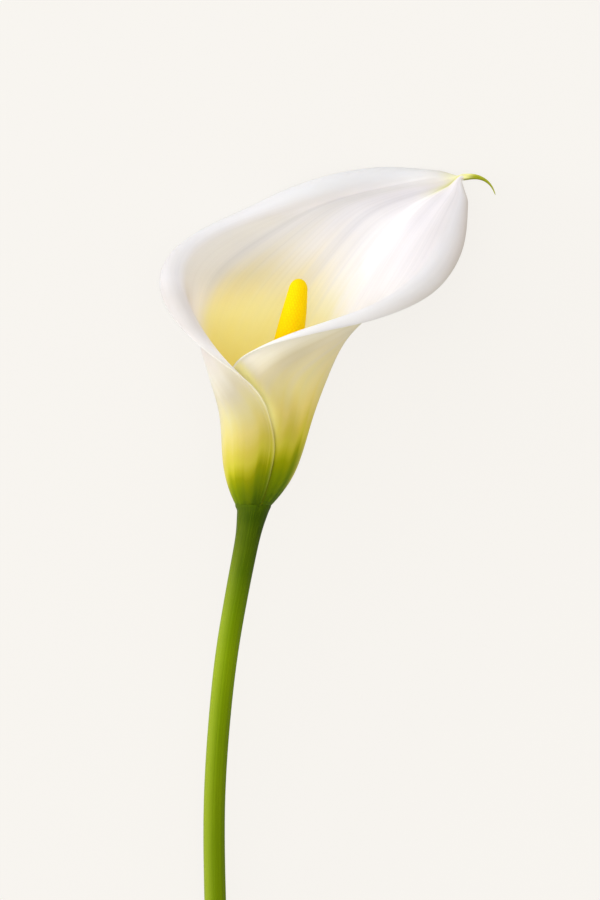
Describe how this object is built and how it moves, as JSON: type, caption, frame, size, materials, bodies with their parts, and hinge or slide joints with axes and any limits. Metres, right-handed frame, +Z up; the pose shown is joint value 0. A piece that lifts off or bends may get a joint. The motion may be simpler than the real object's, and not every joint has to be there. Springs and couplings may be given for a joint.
{
  "type": "calla lily flower",
  "caption": "Cut white calla lily lying on its back: a long green stem, a wrapped funnel-shaped spathe with a rolled rim and curled green tail, and a yellow spadix inside.",
  "frame": {"origin": "bottom centre of the whole flower as it lies on a table", "axes": "+Y along the stem from the cut end to the flower, +X towards the side that the tip leans to, +Z up from the table"},
  "size_m": [0.1373, 0.4005, 0.0862],
  "materials": {
    "stem": "smooth, waxy green skin with a soft sheen and fine lengthwise lines",
    "spathe": "waxy white petal, cream and yellow-green towards its foot, green at its tail",
    "spadix": "powdery yellow, covered in fine florets"
  },
  "bodies": {
    "root": {"stem": "stem", "spathe": "spathe", "spadix": "spadix"}
  },
  "joints": []
}
